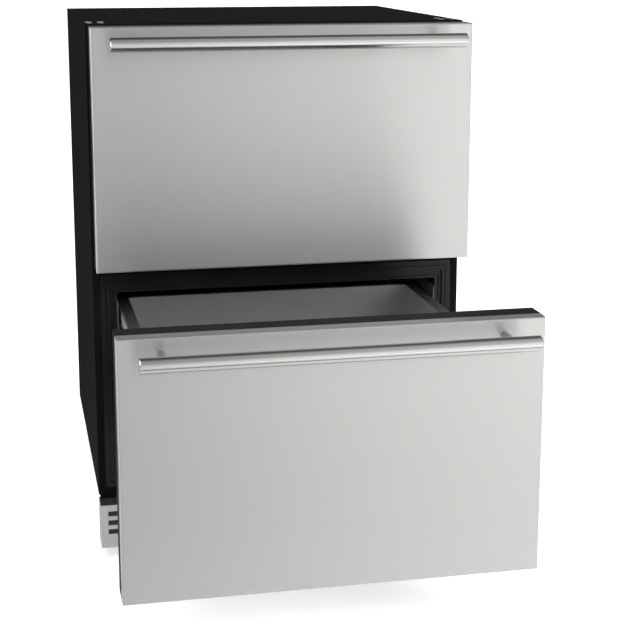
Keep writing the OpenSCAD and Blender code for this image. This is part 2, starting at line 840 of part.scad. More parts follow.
module condenser_coil() {
  tube_z0 = machine_floor_z + tube_margin;
  tube_pitch = (condenser_z1 - tube_margin - tube_z0) / (condenser_rows - 1);
  color(COPPER) {
    for (y = [condenser_y0, condenser_y1 - end_plate_t])
      block([condenser_x, y, machine_floor_z], [condenser_x + condenser_t, y + end_plate_t, condenser_z1]);
    for (i = [1 : fin_count]) {
      y = condenser_y0 + i * (condenser_y1 - condenser_y0) / (fin_count + 1);
      block([condenser_x, y, machine_floor_z + fin_lift],
            [condenser_x + condenser_t, y + fin_t, condenser_z1]);
    }
    for (column = condenser_columns, row = [0 : condenser_rows - 1]) {
      x = condenser_x + column;
      z = tube_z0 + row * tube_pitch;
      rod([x, condenser_y0 - tube_proud, z], [x, condenser_y1 + tube_proud, z], tube_d);
    }
  }
}

// A fan's blades and hub round the X axis, starting at x = 0
module fan_blade(d, depth, hub_d) {
  chord = fan_chord * d;
  root = hub_d / 2 - fan_root_depth;
  rotate([90, 0, 90]) difference() {
    union() {
      cylinder(h = depth, d = hub_d);
      for (i = [0 : fan_blades - 1])
        rotate([0, 0, i * 360 / fan_blades]) intersection() {
          translate([root, 0, depth / 2]) rotate([fan_pitch, 0, 0])
            block([0, -chord / 2, -fan_blade_t / 2], [d / 2 - root, chord / 2, fan_blade_t / 2]);
          cylinder(h = depth, d = d);
        }
    }
    translate([0, 0, -cut]) cylinder(h = depth + 2 * cut, d = shaft_d + 2 * turn_play);
  }
}

module condenser_fan_frame() {
  shaft_x = cond_fan_x + cond_frame_t + 2 * fan_play;
  color(TRIM) {
    difference() {
      block([cond_fan_x, machine_mid_y - cond_frame_w / 2, machine_floor_z],
            [cond_fan_x + cond_frame_t, machine_mid_y + cond_frame_w / 2, cond_fan_z + cond_frame_w / 2]);
      translate([cond_fan_x - cut, machine_mid_y, cond_fan_z]) rotate([0, 90, 0])
        cylinder(h = cond_frame_t + 2 * cut, d = cond_fan_d + 2 * fan_tip_gap);
    }
    translate([cond_motor_x, machine_mid_y, cond_fan_z]) rotate([0, 90, 0])
      cylinder(h = cond_motor_len, d = cond_motor_d);
    translate([shaft_x, machine_mid_y, cond_fan_z]) rotate([0, 90, 0])
      cylinder(h = cond_motor_x - shaft_x + cut, d = shaft_d);
    // Straps from the frame to the motor
    for (side = [0, 1]) translate([0, machine_mid_y, 0]) mirror([0, side, 0]) {
      block([cond_fan_x, cond_frame_w / 2 - strap_t, cond_fan_z - strap_w / 2],
            [cond_motor_x + 2 * strap_t, cond_frame_w / 2, cond_fan_z + strap_w / 2]);
      block([cond_motor_x + strap_t, cond_motor_d / 2 - strap_t, cond_fan_z - strap_w / 2],
            [cond_motor_x + 2 * strap_t, cond_frame_w / 2, cond_fan_z + strap_w / 2]);
    }
  }
}

module condenser_fan_blade() {
  color(BLACK) translate([cond_fan_x + cond_frame_t + 4 * fan_play, machine_mid_y, cond_fan_z])
    fan_blade(cond_fan_d, cond_blade_depth, cond_hub_d);
}

module evaporator_coil() {
  tube_pitch = (evap_h - 2 * evap_tube_margin) / (evap_rows - 1);
  color(GREY) {
    // End plates that screw to the back of the liner
    for (side = [0, 1]) mirror([side, 0, 0])
      block([evap_half - evap_plate_t, evap_y, evap_z], [evap_half, cavity_d, evap_z + evap_h]);
    for (i = [1 : evap_fins]) {
      x = -evap_half + i * 2 * evap_half / (evap_fins + 1);
      block([x, evap_y, evap_z], [x + fin_t, evap_y + evap_d, evap_z + evap_h]);
    }
    for (row = [0 : evap_rows - 1], y = evap_columns) {
      z = evap_z + evap_tube_margin + row * tube_pitch;
      rod([-evap_half - tube_proud, y, z], [evap_half + tube_proud, y, z], tube_d);
    }
  }
}

return_slot_h = 6;
return_slot_half = 50;
return_slot_pitch_x = 130;
return_slot_pitch_z = 14;
return_slot_lift = 16;
module evaporator_cover() {
  color(GREY) difference() {
    block([-in_half, evap_cover_y, upper_floor_z], [in_half, evap_cover_y + evap_cover_t, upper_top_z]);
    translate([0, evap_cover_y - cut, evap_fan_z]) rotate([-90, 0, 0])
      cylinder(h = evap_cover_t + 2 * cut, d = evap_fan_d + 2 * fan_tip_gap);
    // Return air slots
    for (row = [0 : 3], side = [-1, 0, 1]) {
      x = side * return_slot_pitch_x;
      z = upper_floor_z + return_slot_lift + row * return_slot_pitch_z;
      block([x - return_slot_half, evap_cover_y - cut, z],
            [x + return_slot_half, evap_cover_y + evap_cover_t + cut, z + return_slot_h]);
    }
  }
}

module evaporator_fan_frame() {
  back_y = evap_cover_y + evap_cover_t;
  front_y = back_y + evap_frame_t;
  motor_y = front_y + evap_blade_depth + evap_motor_gap;
  strap_y = motor_y + evap_strap_past;
  color(BLACK) {
    difference() {
      block([-evap_frame_w / 2, back_y, evap_fan_z - evap_frame_w / 2],
            [evap_frame_w / 2, front_y, evap_fan_z + evap_frame_w / 2]);
      translate([0, back_y - cut, evap_fan_z]) rotate([-90, 0, 0])
        cylinder(h = evap_frame_t + 2 * cut, d = evap_fan_d + 2 * fan_tip_gap);
    }
    translate([0, motor_y, evap_fan_z]) rotate([-90, 0, 0]) cylinder(h = evap_motor_len, d = evap_motor_d);
    translate([0, front_y, evap_fan_z]) rotate([-90, 0, 0])
      cylinder(h = motor_y - front_y + cut, d = shaft_d);
    // Straps from the frame to the motor
    for (side = [0, 1]) mirror([side, 0, 0]) {
      block([evap_frame_w / 2 - strap_t, back_y, evap_fan_z - evap_strap_w / 2],
            [evap_frame_w / 2, strap_y, evap_fan_z + evap_strap_w / 2]);
      block([evap_motor_d / 2 - strap_t, strap_y - strap_t, evap_fan_z - evap_strap_w / 2],
            [evap_frame_w / 2, strap_y, evap_fan_z + evap_strap_w / 2]);
    }
  }
}

module evaporator_fan_blade() {
  color(GREY) translate([0, evap_cover_y + evap_cover_t + 4 * fan_play, evap_fan_z]) rotate([0, 0, 90])
    fan_blade(evap_fan_d, evap_blade_depth, evap_hub_d);
}

// Discharge line to the condenser, liquid line up to the evaporator and suction line back down
line_bend = 12;
line_top_drop = 16;
line_out_gap = 10;
line_turn = 8;
line_wall_depth = 16;
line_wall_y = cavity_d + liner_t + line_wall_depth;
line_rise_inset = 71.5;
line_rise_x = half_w - line_rise_inset;
evap_line_z = evap_z + evap_h - evap_tube_margin;
cond_line_z = condenser_z1 - tube_margin;
cond_in_x = condenser_x + condenser_columns[1];
cond_out_x = condenser_x + condenser_columns[0];
line_top_z = machine_top_z - line_top_drop;
line_rise_left_x = condenser_x - line_bend;
line_out_y = condenser_y0 - line_out_gap;
evap_line_x = evap_half + tube_proud;
evap_turn_x = evap_line_x + line_turn;
line_routes = [
  [discharge_end, [discharge_end.x - line_bend, discharge_end.y, stub_z],
   [discharge_end.x - line_bend, condenser_y1 + line_bend, stub_z],
   [discharge_end.x - line_bend, condenser_y1 + line_bend, line_top_z],
   [cond_in_x, condenser_y1 + line_bend, line_top_z],
   [cond_in_x, condenser_y1 + line_bend, cond_line_z],
   [cond_in_x, condenser_y1 + tube_proud, cond_line_z]],
  [[cond_out_x, condenser_y0 - tube_proud, cond_line_z],
   [cond_out_x, line_out_y, cond_line_z],
   [line_rise_left_x, line_out_y, cond_line_z],
   [line_rise_left_x, line_wall_y, cond_line_z],
   [line_rise_left_x, line_wall_y, evap_line_z],
   [-evap_turn_x, line_wall_y, evap_line_z],
   [-evap_turn_x, evap_columns[0], evap_line_z],
   [-evap_line_x, evap_columns[0], evap_line_z]],
  [[evap_line_x, evap_columns[0], evap_line_z],
   [evap_turn_x, evap_columns[0], evap_line_z],
   [evap_turn_x, line_wall_y, evap_line_z],
   [line_rise_x, line_wall_y, evap_line_z],
   [line_rise_x, line_wall_y, stub_z],
   [line_rise_x, suction_end.y, stub_z],
   suction_end]
];
module refrigerant_lines() {
  color(COPPER) for (route = line_routes) pipe(route, line_d);
}

// Tray that catches the drain water in the warm air of the condenser fan
module condensate_pan() {
  low = [
    cond_motor_x + cond_motor_len + pan_left_gap, case_d - pan_back_gap - pan_tray_d, machine_floor_z
  ];
  high = low + [pan_tray_w, pan_tray_d, pan_tray_h];
  color(TRIM) difference() {
    block(low, high);
    block(low + [pan_tray_t, pan_tray_t, pan_tray_t], high + [-pan_tray_t, -pan_tray_t, cut]);
  }
}

// ---- Controls and lights ----

housing_half = 60;
housing_h = 24;
housing_y = 20;
housing_d = 60;
housing_wall = 2;
knob_x = 34;
knob_z = upper_top_z - housing_h / 2;
knob_depth = 14;
knob_gap = 0.3;
knob_rib = 2;
knob_rib_reach = 0.5;
knob_bore_z = 4;
spindle_d = 6;
module thermostat_housing() {
  color(GREY) {
    difference() {
      block([-housing_half, housing_y, upper_top_z - housing_h],
            [housing_half, housing_y + housing_d, upper_top_z]);
      block([housing_wall - housing_half, housing_y + housing_wall, upper_top_z - housing_h + housing_wall],
            [housing_half - housing_wall, housing_y + housing_d - housing_wall, upper_top_z + cut]);
    }
    // Spindle for the knob
    translate([knob_x, housing_y - knob_depth + knob_bore_z, knob_z]) rotate([-90, 0, 0])
      cylinder(h = knob_depth - knob_bore_z + housing_wall, d = spindle_d);
  }
}

module temperature_knob() {
  grip_d = knob_d - 2 * knob_rib_reach;
  color(BLACK) translate([knob_x, housing_y - knob_depth - knob_gap, knob_z]) rotate([-90, 0, 0])
    difference() {
      union() {
        cylinder(h = knob_rib, d1 = grip_d - knob_rib, d2 = grip_d);
        translate([0, 0, knob_rib]) cylinder(h = knob_depth - knob_rib, d = grip_d);
        // Pointer rib, towards the top at rest
        translate([-knob_rib / 2, -knob_d / 2, knob_rib / 2])
          cube([knob_rib, knob_d / 2, knob_depth - knob_rib]);
      }
      translate([0, 0, knob_bore_z - knob_gap]) cylinder(h = knob_depth, d = spindle_d + 2 * turn_play);
    }
}

light_y = 100;
light_half = 70;
light_d = 22;
light_h = 6;
module interior_lights() {
  color([0.92, 0.92, 0.9]) for (z = [upper_top_z, lower_top_z])
    block([-light_half, light_y, z - light_h], [light_half, light_y + light_d, z]);
}

// ---- Drawer fronts, drawn shut ----

module front_skin(z0) {
  z1 = z0 + front_h;
  color(STEEL) difference() {
    folded_block(front_half, z0, z1, face_y, pan_y, skin_r);
    folded_block(front_half - skin_t, z0 + skin_t, z1 - skin_t, face_y + skin_t, pan_y + cut,
                 skin_r - skin_t);
    at_posts(z1) cylinder(h = 3 * cut + skin_t, d = handle_screw_d + 3 * hole_play, center = true);
  }
}

// Places its children where the posts meet the front's face, with +Z pointing forwards
module at_posts(top) {
  for (side = [-1, 1]) translate([side * post_x, face_y, top - bar_drop]) rotate([90, 0, 0]) children();
}

module front_foam(z0) {
  z1 = z0 + front_h;
  pan_in = front_half - pan_t;
  color(FOAM) difference() {
    union() {
      folded_block(front_half - skin_t, z0 + skin_t, z1 - skin_t, face_y + skin_t, pan_y,
                   skin_r - skin_t);
      block([-pan_in, pan_y - cut, z0 + pan_t], [pan_in, -gasket_gap - pan_t, z1 - pan_t]);
    }
    at_posts(z1) translate([0, 0, -skin_t - screw_head_h - hole_play])
      cylinder(h = screw_head_h + hole_play, d = screw_head_d + 2 * hole_play);
    groove_wall(z0);
  }
}

module gasket_ring(z0, inset, w, y0, y1) {
  z1 = z0 + front_h;
  a = gasket_inset + inset;
  ring([front_half - a, z0 + a, z1 - a], [front_half - a - w, z0 + a + w, z1 - a - w],
       y0, y1, gasket_r, gasket_r - 1);
}

// The thicker stretch of the pan's back that takes the gasket's groove
module groove_wall(z0) {
  z1 = z0 + front_h;
  a = gasket_inset - groove_margin;
  b = gasket_inset + gasket_w + groove_margin;
  ring([front_half - a, z0 + a, z1 - a], [front_half - b, z0 + b, z1 - b],
       -gasket_gap - pan_t - gasket_groove, -gasket_gap, gasket_r - 1, gasket_r - 1);
}

// Black moulded pan that closes the back of the front and holds the gasket
module front_pan(z0) {
  z1 = z0 + front_h;
  back = -gasket_gap;
  color(TRIM) difference() {
    block([-front_half, pan_y, z0], [front_half, back, z1]);
    difference() {
      block([-front_half + pan_t, pan_y - cut, z0 + pan_t], [front_half - pan_t, back - pan_t, z1 - pan_t]);
      groove_wall(z0);
    }
    gasket_ring(z0, 0, gasket_w, back - gasket_groove, back + cut);
  }
}

// Rubber gasket with a bellows waist between its foot and its sealing face
module gasket(z0) {
  back = -gasket_gap;
  waist = gasket_w / 4;
  color(BLACK) {
    gasket_ring(z0, 0, gasket_w, back - gasket_groove, back + gasket_foot_t);
    gasket_ring(z0, waist / 2, gasket_w - waist, back - gasket_groove, -gasket_face_t);
    gasket_ring(z0, 0, gasket_w, -gasket_face_t - gasket_play, -gasket_play);
  }
}

module handle_bar(z0) {
  z = z0 + front_h - bar_drop;
  color(STEEL) difference() {
    translate([0, bar_y, z]) rotate([0, 90, 0]) {
      translate([0, 0, bar_chamfer - bar_half]) cylinder(h = 2 * (bar_half - bar_chamfer), d = bar_d);
      // Chamfered ends
      for (side = [0, 1]) mirror([0, 0, side]) translate([0, 0, bar_half - bar_chamfer])
        cylinder(h = bar_chamfer, d1 = bar_d, d2 = bar_d - 2 * bar_chamfer);
    }
    for (side = [-1, 1]) translate([side * post_x, post_end_y - hole_play, z]) rotate([-90, 0, 0])
      cylinder(h = bar_d, d = post_d + 2 * turn_play);
  }
}

module handle_posts(z0) {
  color(STEEL) at_posts(z0 + front_h) difference() {
    cylinder(h = face_y - post_end_y, d = post_d);
    translate([0, 0, -cut]) cylinder(h = screw_grip + cut, d = handle_screw_d);
  }
}

module handle_screws(z0) {
  color(ZINC) at_posts(z0 + front_h) translate([0, 0, -skin_t])
    screw(handle_screw_d, screw_grip, screw_head_d, screw_head_h);
}

// ---- Drawer boxes, drawn shut ----

// Profile of the rim in X and Z, for the right side: a fold open at its foot
module rim_outline(rim_z, grow) {
  x0 = box_half + grow;
  x1 = box_half + rim_w - grow;
  z1 = rim_z - grow;
  z0 = rim_z - rim_h - (grow > 0 ? cut : 0);
  r = rim_r - grow;
  translate([x0, z0]) square([x1 - r - x0, z1 - z0]);
  translate([x0, z0]) square([x1 - x0, z1 - r - z0]);
  translate([x1 - r, z1 - r]) circle(r);
}

// One side of a drawer box. The floor rises over the machine space where step is true.
module drawer_side(side, floor_z, rim_z, step) {
  rear_z = step ? box_step_z : floor_z;
  step_at = step ? box_step_y : box_back_y / 2;
  color(GREY) mirror([side < 0 ? 1 : 0, 0, 0]) {
    along_y(box_front_y, box_back_y) difference() {
      rim_outline(rim_z, 0);
      rim_outline(rim_z, box_t);
    }
    along_x(box_half, box_half + box_t) polygon([
      [box_front_y, floor_z], [step_at, floor_z], [step_at, rear_z],
      [box_back_y, rear_z], [box_back_y, rim_z - box_t], [box_front_y, rim_z - box_t]
    ]);
    // Flange that is screwed to the back of the front
    block([box_half, box_front_y, floor_z], [box_half + box_bracket_w, box_front_y + box_t, rim_z - box_t]);
  }
}

// Floor, riser, back and front wall of a drawer box, folded from one sheet
module drawer_tray(floor_z, rim_z, step) {
  rear_z = step ? box_step_z : floor_z;
  step_at = step ? box_step_y : box_back_y / 2;
  back_z = rim_z - box_rim_step;
  color(GREY) {
    block([-box_half, box_front_y, floor_z], [box_half, box_front_y + box_t, rim_z - box_front_drop]);
    block([-box_half, box_front_y, floor_z], [box_half, step_at, floor_z + box_t]);
    block([-box_half, step_at - box_t, floor_z], [box_half, step_at, rear_z + box_t]);
    block([-box_half, step_at - box_t, rear_z], [box_half, box_back_y, rear_z + box_t]);
    block([-box_half, box_back_y - box_t, rear_z], [box_half, box_back_y, back_z]);
    block([-box_half, box_back_y - box_t, back_z - box_t], [box_half, box_back_y + box_hem, back_z]);
  }
}

// ---- Slides, drawn shut ----

// A channel in X and Z that opens towards the side given: -1 is inwards, 1 is outwards
module channel(x0, x1, z0, z1, t, opens) {
  difference() {
    translate([x0, z0]) square([x1 - x0, z1 - z0]);
    translate([opens < 0 ? x0 - cut : x0 + t, z0 + t]) square([x1 - x0 - t + cut, z1 - z0 - 2 * t]);
  }
}

// Both rails of a drawer, each with its mounting plate on the liner's wall
module slide_rails(rim_z) {
  z1 = rim_z - rim_h - slide_drop;
  z0 = z1 - slide_h;
  plate_top = rim_z + plate_rise;
  x1 = in_half - plate_t;
  color(ZINC) for (side = [0, 1]) mirror([side, 0, 0]) {
    along_y(slide_y, slide_y + slide_len)
      channel(slide_x + rail_t + slide_play, x1, z0, z1, rail_t, -1);
    difference() {
      along_x(x1, in_half) difference() {
        translate([plate_y, z0]) square([plate_len, plate_top - z0]);
        // Rounded upper front corner
        difference() {
          translate([plate_y - cut, plate_top - plate_corner_r])
            square([plate_corner_r + cut, plate_corner_r + cut]);
          translate([plate_y + plate_corner_r, plate_top - plate_corner_r]) circle(plate_corner_r);
        }
      }
      for (i = [0, 1, 6, 7]) {
        y = plate_y + plate_slot_first + i * plate_slot_pitch;
        z = plate_top - plate_slot_drop;
        along_x(x1 - cut, in_half + cut)
          rounded([y - plate_slot_w / 2, z - plate_slot_h / 2], [y + plate_slot_w / 2, z + plate_slot_h / 2],
                  plate_slot_w / 2 - slot_end_flat);
      }
    }
  }
}

module slide_middles(rim_z) {
  z1 = rim_z - rim_h - slide_drop - rail_t - slide_play;
  z0 = z1 - slide_h + 2 * (rail_t + slide_play);
  x1 = in_half - plate_t - rail_t - slide_play;
  color(STEEL) for (side = [0, 1]) mirror([side, 0, 0])
    along_y(slide_y, slide_y + slide_len) channel(slide_x + rail_t + slide_play, x1, z0, z1, rail_t, -1);
}

module slide_runners(rim_z) {
  inset = 2 * (rail_t + slide_play);
  z1 = rim_z - rim_h - slide_drop - inset;
  z0 = z1 - slide_h + 2 * inset;
  x1 = in_half - plate_t - inset;
  skin_x = box_half + box_t;
  color(ZINC) for (side = [0, 1]) mirror([side, 0, 0]) {
    along_y(slide_y, slide_y + slide_len) channel(slide_x, x1, z0, z1, rail_t, 1);
    // Round spacers against the drawer's side
    for (share = spacer_places)
      translate([skin_x, slide_y + share * slide_len, (z0 + z1) / 2]) rotate([0, 90, 0])
        cylinder(h = slide_x + rail_t / 2 - skin_x, d = spacer_d);
  }
}

// ---- The nodes ----

placed() outer_wrapper();
placed() rear_panel();
placed() machine_cover();
placed() base_pan();
placed() wall_insulation();
placed() upper_liner();
placed() lower_liner();
placed() mullion_bar();
placed() upper_trim_frame();
placed() lower_trim_frame();
placed() kick_plate();
placed() filter_mat();
placed() top_inserts();
placed() cover_screws();
placed() leg_front_left();
placed() leg_front_right();
placed() leg_rear_left();
placed() leg_rear_right();
placed() compressor();
placed() compressor_mounts();
placed() condenser_coil();
placed() condenser_fan_frame();
placed() condenser_fan_blade();
placed() evaporator_coil();
placed() evaporator_cover();
placed() evaporator_fan_frame();
placed() evaporator_fan_blade();
placed() refrigerant_lines();
placed() condensate_pan();
placed() thermostat_housing();
placed() temperature_knob();
placed() interior_lights();
placed() power_inlet();

placed() front_skin(upper_front_z);  // upper_front_skin
placed() front_foam(upper_front_z);  // upper_front_foam
placed() front_pan(upper_front_z);  // upper_front_pan
placed() gasket(upper_front_z);  // upper_gasket
placed() handle_bar(upper_front_z);  // upper_handle_bar
placed() handle_posts(upper_front_z);  // upper_handle_posts
placed() handle_screws(upper_front_z);  // upper_handle_screws
placed() drawer_side(-1, upper_box_z, upper_rim_z, false);  // upper_drawer_left_side
placed() drawer_side(1, upper_box_z, upper_rim_z, false);  // upper_drawer_right_side
placed() drawer_tray(upper_box_z, upper_rim_z, false);  // upper_drawer_tray
placed() slide_rails(upper_rim_z);  // upper_slide_rails
placed() slide_middles(upper_rim_z);  // upper_slide_middles
placed() slide_runners(upper_rim_z);  // upper_slide_runners

pulled(1) front_skin(lower_front_z);  // lower_front_skin
pulled(1) front_foam(lower_front_z);  // lower_front_foam
pulled(1) front_pan(lower_front_z);  // lower_front_pan
pulled(1) gasket(lower_front_z);  // lower_gasket
pulled(1) handle_bar(lower_front_z);  // lower_handle_bar
pulled(1) handle_posts(lower_front_z);  // lower_handle_posts
pulled(1) handle_screws(lower_front_z);  // lower_handle_screws
pulled(1) drawer_side(-1, lower_box_z, lower_rim_z, true);  // lower_drawer_left_side
pulled(1) drawer_side(1, lower_box_z, lower_rim_z, true);  // lower_drawer_right_side
pulled(1) drawer_tray(lower_box_z, lower_rim_z, true);  // lower_drawer_tray
placed() slide_rails(lower_rim_z);  // lower_slide_rails
pulled(0.5) slide_middles(lower_rim_z);  // lower_slide_middles
pulled(1) slide_runners(lower_rim_z);  // lower_slide_runners
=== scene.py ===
# Looks of the undercounter drawer refrigerator: finishes, soft edges, studio light and camera.
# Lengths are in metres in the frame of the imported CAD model: the front faces -Y and the floor is z = 0.
import math

import bpy
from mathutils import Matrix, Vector

MM = 0.001
WHITE = (1.0, 1.0, 1.0, 1.0)

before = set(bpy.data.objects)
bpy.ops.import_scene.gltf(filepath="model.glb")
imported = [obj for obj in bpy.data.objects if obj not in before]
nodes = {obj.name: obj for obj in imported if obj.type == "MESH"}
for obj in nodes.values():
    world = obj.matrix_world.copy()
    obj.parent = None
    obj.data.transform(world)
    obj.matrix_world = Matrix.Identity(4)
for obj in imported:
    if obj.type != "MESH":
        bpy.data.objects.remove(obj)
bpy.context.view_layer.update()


# ---- Node helpers ----


def add_node(tree, kind, **values):
    """A new node in tree. A value goes to its input of that name, or else to its property."""
    node = tree.nodes.new(kind)
    for key, value in values.items():
        socket = node.inputs.get(key.replace("_", " "))
        if socket is None:
            setattr(node, key, value)
        else:
            socket.default_value = value
    return node


def math_node(tree, operation, *terms):
    """The result of an operation on terms, each of them a node's output or a plain number."""
    node = add_node(tree, "ShaderNodeMath", operation=operation)
    for socket, term in zip(node.inputs, terms):
        if isinstance(term, (int, float)):
            socket.default_value = term
        else:
            tree.links.new(term, socket)
    return node.outputs["Value"]


class Finish:
    """A Principled material and the procedural nodes that feed it."""

    def __init__(self, name, colour, roughness, metallic=0.0, specular=0.5):
        self.material = bpy.data.materials.new(name)
        self.material.use_nodes = True
        self.tree = self.material.node_tree
        self.shader = self.tree.nodes["Principled BSDF"]
        self.set("Base Color", (*colour, 1.0))
        self.set("Roughness", roughness)
        self.set("Metallic", metallic)
        self.set("Specular IOR Level", specular)

    def set(self, socket, value):
        self.shader.inputs[socket].default_value = value

    def add(self, kind, **values):
        return add_node(self.tree, kind, **values)

    def math(self, operation, *terms):
        return math_node(self.tree, operation, *terms)

    def link(self, output, target):
        self.tree.links.new(output, target)

    def place(self, stretch=(1.0, 1.0, 1.0)):
        """The object's own coordinates, scaled by stretch."""
        where = self.add("ShaderNodeTexCoord")
        mapping = self.add("ShaderNodeMapping", Scale=stretch)
        self.link(where.outputs["Object"], mapping.inputs["Vector"])
        return mapping.outputs["Vector"]

    def noise(self, scale, detail=3.0, stretch=(1.0, 1.0, 1.0), roughness=0.5):
        """Noise with about scale grains to a metre, before stretch."""
        node = self.add("ShaderNodeTexNoise", Scale=scale, Detail=detail, Roughness=roughness)
        self.link(self.place(stretch), node.inputs["Vector"])
        return node.outputs["Fac"]

    def remap(self, value, low, high, from_low=0.3, from_high=0.7):
        """Value, mostly between from_low and from_high, as a number from low to high."""
        node = self.add("ShaderNodeMapRange", interpolation_type="SMOOTHSTEP",
                        From_Min=from_low, From_Max=from_high, To_Min=low, To_Max=high)
        self.link(value, node.inputs["Value"])
        return node.outputs["Result"]

    def vary_roughness(self, value, low, high):
        self.link(self.remap(value, low, high), self.shader.inputs["Roughness"])

    def vary_colour(self, value, dark, light, from_low=0.3, from_high=0.7):
        """Runs the base colour from dark to light with value."""
        mix = self.add("ShaderNodeMix", data_type="RGBA")
        colour_sockets = [s for s in mix.inputs if s.type == "RGBA"]
        colour_sockets[0].default_value = (*dark, 1.0)
        colour_sockets[1].default_value = (*light, 1.0)
        self.link(self.remap(value, 0.0, 1.0, from_low, from_high), mix.inputs[0])
        result = next(s for s in mix.outputs if s.type == "RGBA")
        self.link(result, self.shader.inputs["Base Color"])

    def bump(self, value, height, strength):
        """A relief that follows value, up to that height."""
        node = self.add("ShaderNodeBump", Strength=strength, Distance=height)
        self.link(value, node.inputs["Height"])
        self.link(node.outputs["Normal"], self.shader.inputs["Normal"])

    def brush(self, amount):
        """Brushing along X, which draws reflections out across it."""
        tangent = self.add("ShaderNodeTangent", direction_type="RADIAL", axis="X")
        self.link(tangent.outputs["Tangent"], self.shader.inputs["Tangent"])
        self.set("Anisotropic", amount)


def shade(colour, factor):
    """The colour with each of its parts times factor."""
    return tuple(part * factor for part in colour)


# ---- Finishes ----

STEEL = (0.63, 0.623, 0.61)
FOAM = (0.80, 0.68, 0.40)
# Where along Y the painted shade on the front edge of the wall insulation ends: a black band that stands
# in for the shade in the gap in front of it
SHADE_BAND_END = -0.030


def brushed_sheet(name, colour, roughness, brushing):
    """Satin stainless sheet, brushed along X."""
    finish = Finish(name, colour, roughness, metallic=1.0)
    finish.brush(brushing)
    grain = finish.noise(scale=1300.0, detail=2.0, stretch=(0.008, 1.0, 1.0))
    finish.vary_colour(grain, shade(colour, 0.988), shade(colour, 1.012))
    finish.vary_roughness(grain, roughness - 0.005, roughness + 0.005)
    return finish.material


def handle_steel():
    """Stainless tube and posts of the handles, ground along X."""
    colour = shade(STEEL, 0.92)
    finish = Finish("handle_steel", colour, roughness=0.18, metallic=1.0)
    grain = finish.noise(scale=1400.0, detail=2.0, stretch=(0.01, 1.0, 1.0))
    finish.brush(0.5)
    finish.vary_colour(grain, shade(colour, 0.97), shade(colour, 1.03))
    finish.vary_roughness(grain, 0.16, 0.20)
    return finish.material


def case_paint():
    """Black powder coat with its fine pebbled surface and a trace of dust."""
    finish = Finish("case_paint", (0.0055, 0.0055, 0.0057), roughness=0.7, specular=0.03)
    pebble = finish.noise(scale=1300.0, detail=2.0)
    dust = finish.noise(scale=60.0, detail=4.0)
    finish.vary_colour(dust, (0.0051, 0.0051, 0.0053), (0.0059, 0.0059, 0.0061))
    finish.vary_roughness(dust, 0.68, 0.72)
    finish.bump(pebble, height=0.02 * MM, strength=0.4)
    return finish.material


def moulded(name, colour, roughness, specular, grain):
    """Moulded plastic or foam with a fine surface grain of that height in millimetres."""
    finish = Finish(name, colour, roughness, specular=specular)
    fine = finish.noise(scale=1600.0, detail=2.0)
    flow = finish.noise(scale=9.0, detail=2.0)
    finish.vary_colour(flow, shade(colour, 0.93), shade(colour, 1.08))
    finish.vary_roughness(flow, roughness - 0.04, roughness + 0.05)
    finish.bump(fine, height=grain * MM, strength=0.5)
    return finish.material


def rubber():
    """Soft black rubber with a dry bloom."""
    finish = Finish("rubber", (0.016, 0.016, 0.017), roughness=0.6, specular=0.3)
    bloom = finish.noise(scale=60.0, detail=4.0)
    skin = finish.noise(scale=500.0, detail=2.0)
    finish.vary_colour(bloom, (0.013, 0.013, 0.014), (0.024, 0.024, 0.025))
    finish.vary_roughness(bloom, 0.52, 0.7)
    finish.bump(skin, height=0.03 * MM, strength=0.4)
    return finish.material


def galvanised(name, colour, roughness, spangles):
    """Zinc coated steel with that many crystals to a metre."""
    finish = Finish(name, colour, roughness, metallic=1.0)
    cells = finish.add("ShaderNodeTexVoronoi", Scale=spangles, feature="F1")
    finish.link(finish.place(), cells.inputs["Vector"])
    tone = finish.add("ShaderNodeSeparateColor")
    finish.link(cells.outputs["Color"], tone.inputs["Color"])
    finish.vary_colour(tone.outputs["Red"], shade(colour, 0.95), shade(colour, 1.05))
    finish.vary_roughness(tone.outputs["Green"], roughness - 0.03, roughness + 0.04)
    finish.bump(finish.noise(scale=220.0), height=0.01 * MM, strength=0.5)
    return finish.material


def bright_zinc():
    """Plated steel of the moving slide members and the screws, with light drawing marks."""
    colour = (0.56, 0.57, 0.58)
    finish = Finish("bright_zinc", colour, roughness=0.27, metallic=1.0)
    marks = finish.noise(scale=700.0, stretch=(1.0, 0.03, 1.0))
    haze = finish.noise(scale=30.0)
    finish.vary_colour(haze, shade(colour, 0.9), shade(colour, 1.06))
    finish.vary_roughness(marks, 0.22, 0.33)
    finish.bump(marks, height=0.006 * MM, strength=0.5)
    return finish.material


def rail_zinc():
    """Dark, slightly greasy zinc of the fixed rails and their plates."""
    colour = (0.11, 0.11, 0.108)
    finish = Finish("rail_zinc", colour, roughness=0.5, metallic=0.4, specular=0.15)
    grease = finish.noise(scale=55.0, detail=4.0)
    finish.vary_colour(grease, shade(colour, 0.8), shade(colour, 1.15))
    finish.vary_roughness(grease, 0.42, 0.6)
    return finish.material


def insert_zinc():
    """Matt zinc of the threaded inserts in the top."""
    finish = Finish("insert_zinc", (0.32, 0.33, 0.34), roughness=0.5, metallic=0.5)
    haze = finish.noise(scale=400.0)
    finish.vary_colour(haze, (0.27, 0.28, 0.29), (0.37, 0.38, 0.39))
    finish.vary_roughness(haze, 0.42, 0.58)
    return finish.material


def insulation():
    """Rigid polyurethane foam: closed cells under a cream skin."""
    finish = Finish("foam", FOAM, roughness=0.85, specular=0.2)
    cells = finish.noise(scale=420.0, detail=4.0, roughness=0.7)
    finish.vary_colour(cells, (0.66, 0.52, 0.27), (0.86, 0.76, 0.50))
    finish.bump(cells, height=0.6 * MM, strength=0.8)
    return finish.material


